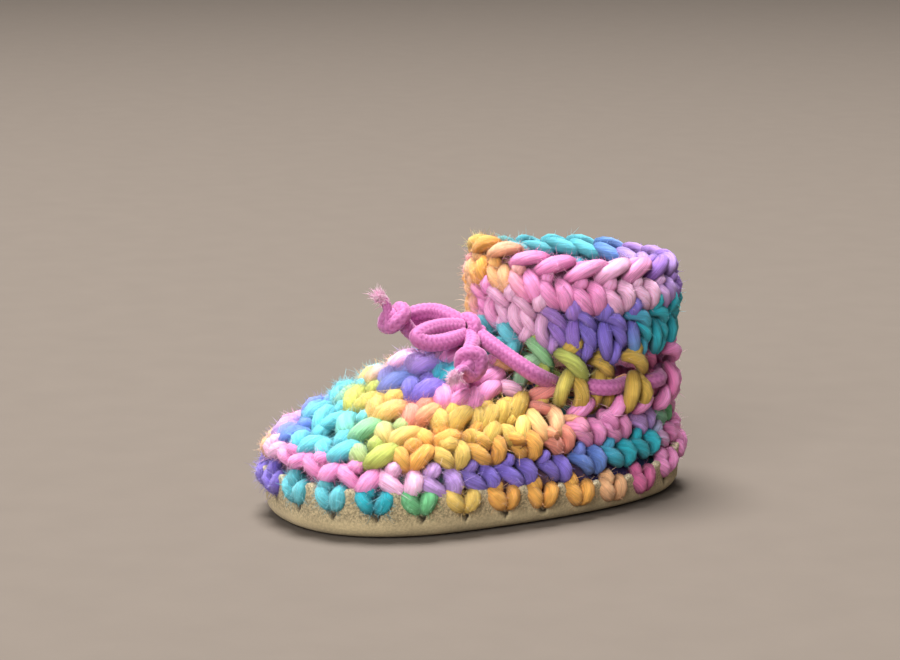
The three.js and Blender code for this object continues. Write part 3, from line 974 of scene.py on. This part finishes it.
# across in stitches, up in the row and out in millimetres
stitches = {
    "heart": [  # where the row is stretched round the toe
        arc((-0.5, 0.82, -2.6), (-0.25, 0.44, 0.1), (0.04, -0.06, -2.4), 2.45),
        arc((0.46, 0.88, -2.6), (0.27, 0.44, 0.2), (0.02, -0.06, -2.4), 2.5),
        arc((-0.16, 0.82, -2.4), (-0.12, 1.02, -0.7), (-0.08, 1.22, -2.4), 2.3),
    ],
    "lean": [  # along the sides
        arc((-0.5, 0.78, -2.7), (-0.19, 0.44, 0.0), (0.12, -0.08, -2.4), 2.1),
        arc((0.06, 0.96, -2.6), (0.3, 0.5, 0.2), (0.3, -0.04, -2.5), 2.2),
        arc((-0.34, 0.88, -2.4), (-0.27, 1.04, -0.7), (-0.2, 1.2, -2.4), 1.95),
    ],
    "tall": [
        arc((-0.6, 0.88, -2.6), (-0.02, 0.86, 0.2), (0.46, 0.42, -2.4), 1.65),
        arc((-0.26, 0.72, -2.4), (-0.34, 0.32, 0.1), (-0.06, -0.1, -2.2), 1.75),
        arc((-0.2, 0.72, -2.6), (0.18, 0.42, -0.5), (0.4, 0.08, -2.8), 1.7),
        arc((0.12, 0.34, -2.4), (0.12, 0.12, -0.8), (-0.02, -0.1, -2.4), 1.6),
        arc((-0.38, 0.88, -2.4), (-0.33, 1.12, 0.0), (-0.28, 1.36, -2.3), 2.1),
    ],
    "post": [
        arc((-0.5, 0.93, -2.4), (0.0, 0.87, 0.4), (0.42, 0.6, -2.4), 1.8),
        arc((0.02, 0.68, -2.2), (-0.27, 0.38, 0.4), (-0.26, 0.0, -2.2), 2.0),
        arc((0.06, 0.66, -2.4), (0.26, 0.38, 0.1), (0.12, 0.04, -2.4), 1.8),
        arc((-0.22, 0.98, -2.6), (-0.02, 1.1, -0.9), (0.16, 1.24, -2.8), 1.85),
    ],
    "link": [
        arc((-0.72, 0.12, -2.2), (-0.05, 0.76, -0.1), (0.66, 1.14, -3.0), 2.25, (0.8, 0.6)),
        arc((-0.72, 0.5, -4.8), (-0.05, 0.86, -4.6), (0.66, 1.1, -3.6), 2.1, (-0.7, 0.7)),
    ],
    "inside": [
        arc((-0.56, 0.4, -5.4), (0.0, 0.5, -6.2), (0.56, 0.4, -5.4), 2.1, (-1, 0.2)),
        arc((-0.1, 0.9, -5.0), (0.3, 0.9, -5.8), (0.6, 0.96, -5.0), 1.7, (-1, 0.2)),
    ],
    "edge": [arc((-0.5, 0.3, -2.0), (0.0, 0.5, 0.3), (0.48, 0.62, -2.0), 2.1)],
    "between": [arc((-1.02, -0.06, -1.9), (-0.72, 0.12, 0.4), (-0.4, 0.36, -1.9), 1.9)],
}
strandFinish = strandWool("dyed_yarn")
fieldFinish = fieldWool("matted_wool")

footBag, vampBag, cuffBag = [], [], []


def level(low, high):
    return lambda angles, up: low + (high - low) * np.asarray(up)


# Rows over the foot climb the skin a stitch's height at a time, and run out where they meet the ankle
climb = {
    "rows": np.linspace(1, last["ankle"], 121),
    "height": 8.9,
    "wide": 8.6,
    "steep": 1.5,  # how much lower the first of them is along the sides
    "lowest": 5,  # a lower stitch is left out
    "toeTo": 17,  # degrees from the front, where hearts begin to lean
    "sideFrom": 39,
    "least": 0.6,  # what a stitch keeps of its size in a row of no height
    "full": 16,  # the more, the slower it grows with its row
}


def climbRow(k):
    def rowAt(angles, up):
        found = []
        for angle, share in zip(angles, up):
            rise = lengthAlong(skin(angle, climb["rows"]))
            most = max(1, math.floor(rise[-1] / climb["height"] + 0.2))  # the last row takes up what is left
            foot, top = (rise[-1] if n >= most else n * climb["height"] for n in (k, k + 1))
            if k == 0:
                top = min(top, climb["height"] - climb["steep"] * leaning(angle))  # stays on the steep side
            found.append(np.interp(foot + (top - foot) * share, rise, climb["rows"]))
        return np.array(found)
    return rowAt


# Two lobes and a knob above them: across in hooks, height over the leather's edge and out in millimetres
hookStrands = [
    arc((-0.28, -0.4, -1.8), (-0.2, -2.4, 0.2), (-0.02, -5.0, -1.3), 2.1),
    arc((0.28, -0.2, -1.8), (0.2, -2.4, 0.3), (0.04, -5.0, -1.3), 2.1),
    arc((-0.18, 1.7, -2.4), (-0.16, 0.3, -0.7), (-0.12, -1.2, -2.2), 1.95),
]


def hookRow():  # wool drawn through the holes and over the leather's edge
    table = polarTable(rounds[0], 0)
    dye = roundDye("hook", hooks)
    for k in range(hooks):
        for lobe in hookStrands:
            across, high, out = lobe["path"].T
            angles = hookAngles((k + hookShift - across + dice.normal(0, 0.02, 3)) / hooks)
            points = tableAt(table, angles)
            points[:, 2] = heightAt(*leather["peak"], angles) + high
            normal = outward(angles[1:2], np.zeros(1), 0.5)[0]
            points += normal * out[:, None]
            footBag.append({
                "path": points, "normal": normal, "radius": lobe["radius"] * jitter(0.08),
                "dye": dye(k) * jitter(0.08), "tip": dye(k) * jitter(0.08),
            })


def leaning(angle):  # 0 at the toe, 1 along the sides and the heel
    away = abs(math.degrees(angle) - 180)
    t = np.clip((away - climb["toeTo"]) / (climb["sideFrom"] - climb["toeTo"]), 0, 1)
    return t * t * (3 - 2 * t)


def veeAt(angle):
    lean = leaning(angle)
    strokes = []
    for heart, slant in zip(stitches["heart"], stitches["lean"]):
        path = heart["path"] * (1 - lean) + slant["path"] * lean
        strokes.append(arc(*path, heart["radius"] * (1 - lean) + slant["radius"] * lean))
    return strokes


# a row of one kind of stitch, within so many degrees of the front
def stitchRow(bag, run, rowAt, count, kind, shift=0, size=1, lowest=0, loose=0.04, front=180, lift=0):
    turns = np.linspace(0, math.tau, 361)
    angleOf, length = evenAngles(turns, skin(turns, rowAt(turns, np.full(361, 0.5))))
    count = count or round(length / climb["wide"])
    places = np.arange(count) + shift
    angles = angleOf(places / count)

    def tallAt(turned):
        foot, top = (skin(turned, rowAt(turned, np.full(count, up))) for up in (0.0, 1.0))
        return np.linalg.norm(top - foot, axis=1)

    tall = tallAt(angles)
    kept = (tall > lowest) & (np.abs(np.degrees(angles) - 180) <= front)
    for side in (-0.5, 0.5):  # a stitch must fit over its whole width
        kept &= tallAt(angleOf((places + side) / count)) >= lowest
    dye = roundDye(run, count) if run in runs else rowDye(run, places[kept][0], kept.sum())
    for place, height, angle in zip(places[kept], tall[kept], angles[kept]):
        fit = size * min(1, climb["least"] + height / climb["full"])
        for stroke in veeAt(angle) if kind == "vee" else stitches[kind]:
            addStroke(bag, dye, count, place, stroke, rowAt, angleOf, fit, lift, loose)


eyelet = {
    "size": 1.05,
    "lift": -1.2,
    "swing": 1.9,  # out over the cord, and in behind it
    "sunk": -0.2,  # the loops between two posts
    "rows": level(last["ankle"], last["ankle"] + 1),
}


def postRow():
    angleOf = lambda share: np.asarray(share) * math.tau
    dye, leaf, below = (roundDye(run, posts) for run in ("post", "leaf", "base"))
    for k in range(posts):
        turn = math.radians(360 / posts * k)
        wrapped = (turn + math.pi) % math.tau - math.pi
        woven = abs(wrapped) < math.radians(cord["woven"])
        side = np.clip(1.5 * math.cos(posts / 2 * turn), -1, 1) if woven else 0
        lift = eyelet["lift"] + eyelet["swing"] * side
        for stroke, own in zip(stitches["post"], (dye, leaf, leaf, leaf)):
            addStroke(cuffBag, own, posts, k, stroke, eyelet["rows"], angleOf, eyelet["size"], lift)
        for stroke in stitches["between"]:
            addStroke(cuffBag, below, posts, k, stroke, eyelet["rows"], angleOf, lift=eyelet["sunk"])


cuffCount = 20
hookRow()
stitchRow(footBag, "first", level(0.3, 1), 27, "vee", size=0.92, lift=0.7)
stitchRow(footBag, "second", climbRow(0), 27, "vee")
stitchRow(footBag, "third", climbRow(1), 25, "vee", shift=0.28, lowest=climb["lowest"])
for i, run in enumerate(vampRuns):
    row, shift = climbRow(i + 2), 0.5 * (i % 2)
    stitchRow(vampBag, run, row, None, "vee", shift, size=1.05, lowest=climb["lowest"], loose=0.06)
stitchRow(vampBag, "edge", level(6.3, 7), 22, "edge", shift=0.5, loose=0.05, front=66)
stitchRow(cuffBag, "tall", level(8, 9), cuffCount, "tall", shift=0.2)
stitchRow(cuffBag, "short", level(9, 10), cuffCount, "lean", shift=0.1, size=0.95)
stitchRow(cuffBag, "rim", level(10, 11), cuffCount, "link", shift=0.1)
for run, low, shift in (("post", 7, 0), ("tall", 8, 0.3), ("short", 9, 0)):
    stitchRow(cuffBag, run, level(low, low + 1), cuffCount, "inside", shift)
postRow()
bags = {"foot_stitches": footBag, "vamp_stitches": vampBag, "cuff_stitches": cuffBag}
laid = {}
for name, bag in bags.items():
    laid[name] = bentStrands(name, bag)
    print(name, len(bag), "strands")


# Matted wool behind the stitches, which stands for the upper, darkened with painted shade where it shows
# between them

wall = {
    "columns": 208,
    "step": 0.125,  # in rows
    "outside": 3.9,
    "inside": 6.2,
    "edge": 1.2,  # how far the ends are drawn in
    "ridge": 0.7,
    "drop": 0.85,
    # painted shade: the matted wool's colour is darkened to stand for the shade in the gaps between stitches
    "shade": 0.3,
    "runs": ["first", "second"] + ["third"] * 5 + ["post", "tall", "short", "rim", "rim"],
}


# the skin moved in towards the ankle's axis and, over the foot, down
def movedSkin(turns, row, depth, foot):
    points = skin(turns, np.full_like(turns, row))
    drop = wall["drop"] * np.clip(row, 0, 1) if foot else 0
    shift = np.stack([np.sin(turns), np.cos(turns), np.full_like(turns, drop)], -1)
    return points - shift * np.broadcast_to(depth, turns.shape)[:, None]


def buildWall(name, low, high, foot):
    turns = np.linspace(0, math.tau, wall["columns"], endpoint=False)
    rings, shades = [], []
    rows = np.arange(low, high + 0.001, wall["step"])

    def add(points, row):
        dye = roundDye(wall["runs"][int(row)], 1)
        rings.append(points)
        # each round's dye, darkened by the painted shade
        shades.append(np.array([dye(share) for share in turns / math.tau]) * wall["shade"])

    def hem(*steps):  # down inside the leather
        for inset, z in steps:
            add(levelRing(turns, inset, z), 0)

    if foot:
        hem((3.4, 4.8), (3, 8))
    for row in rows:
        ending = 1 - np.clip(min(row - low, high - row) / 0.25, 0, 1)
        edge = wall["edge"] * ending * (not foot or row > 3)
        add(movedSkin(turns, row, wall["outside"] + edge, foot), row)
    for row in rows[::-1]:
        lobes = np.abs(np.sin(turns * 10 + 1.6 * math.floor(row)))
        ridge = wall["ridge"] * np.abs(np.sin(math.pi * row)) * lobes
        add(movedSkin(turns, row, wall["inside"] - ridge, foot), row)
    if foot:
        hem((6.2, 8), (6.2, 4.8))
    return wrapGrid(name, np.array(rings), np.array(shades), closed=True)


for name, low, high, foot in (("foot_wall", 0, last["ankle"], True), ("cuff_wall", 8, 10.5, False)):
    finishPiece(buildWall(name, low, high, foot), fieldFinish, "wool", "upper")
    print(name, "matted")


# Fuzz: loose fibres that stand off the yarn

fuzz = {
    "nap": {"count": 25000, "long": (0.5, 2.2), "thick": 0.056, "spread": 0.8},
    "flyaway": {"count": 4000, "long": (1.4, 4.2), "thick": 0.048, "spread": 0.9},
    "halo": {"count": 22000, "long": (0.7, 2.8), "thick": 0.048, "spread": 0.7},  # a second coat in front
    "fullest": 40,  # how far forward of the middle it is thickest
    "behind": 8,
    "lowest": 0.2,  # none goes through the floor
}


def hairs(kind, points, away, shades):  # fine curved spikes, rooted anywhere on the strands
    setting = fuzz[kind]
    count = setting["count"]
    corners = np.array([face if len(face) == 4 else (*face, face[2]) for face in mould["faces"]])
    back = points[:, :, 1].mean(1)
    toeward = np.clip((np.median(back) + fuzz["behind"] - back) / fuzz["fullest"], 0, 1)
    toeward = toeward + (0 if kind == "halo" else 0.5)
    pick = dice.choice(len(points), count, p=toeward / toeward.sum())[:, None]
    corner = corners[dice.integers(0, len(corners), count)]
    u, v = dice.uniform(0, 1, (2, count, 1))
    weights = np.stack([(1 - u) * (1 - v), u * (1 - v), u * v, (1 - u) * v], 1)
    # each hair takes the colour at its root, the strands' painted shade included
    root, off, shade = ((values[pick, corner] * weights).sum(1) for values in (points, away, shades))
    lean = unit(off + dice.normal(0, setting["spread"], root.shape))
    curl = unit(dice.normal(0, 1, root.shape))
    low, high = setting["long"]
    long = low + (high - low) * dice.uniform(0, 1, (count, 1)) ** 2  # most are short
    ends, faces, step = spikes(root, lean, curl, long, setting["thick"], kind == "flyaway")
    shade = shade * dice.uniform(0.8, 1.6, (count, 1))
    pale = dice.uniform(0, 0.4, (count, 1)) * shade.max(1, keepdims=True)
    return ends, faces, np.repeat(shade + (1 - shade) * pale, step, 0)


def growFuzz(name, stock, kinds):
    spots, faces, tints = [], [], []
    for kind in kinds:
        ends, shape, shade = hairs(kind, *laid[stock])
        start = sum(len(part) for part in spots)
        spots.append(ends)
        faces += [tuple(v + start for v in face) for face in shape]
        tints.append(shade)
    spots = np.concatenate(spots)
    spots[:, 2] = np.maximum(spots[:, 2], fuzz["lowest"])
    finishPiece(dyedShadedMesh(name, spots, faces, np.concatenate(tints)), fieldFinish, "wool")


for stock in bags:
    growFuzz(stock.replace("stitches", "fuzz"), stock, ["nap", "flyaway"])
for stock, halo in zip(bags, ("toe_halo", "vamp_halo", "cuff_halo")):
    growFuzz(halo, stock, ["halo"])
print("fuzz grown")


# Floor

floor = {"size": 90, "colour": (0.15, 0.126, 0.106)}


def layFloor():
    bpy.ops.object.select_all(action="DESELECT")
    bpy.ops.mesh.primitive_plane_add(size=floor["size"], location=(0, 0, 0))
    sheet = bpy.context.object
    sheet.name = "paper_floor"
    material, paper, shader = startMaterial("paper", 0.95, 0, (1, 1, 1))
    grain = noise(paper, objectPlace(paper), 60, 3)
    ramp = {"stops": [(0.3, tuple(c * 0.96 for c in floor["colour"])), (0.7, floor["colour"])]}
    plug(paper.node("ShaderNodeValToRGB", ramp, {"Fac": grain}), shader, "Base Color")
    sheet.data.materials.append(material)


layFloor()
print("floor laid")
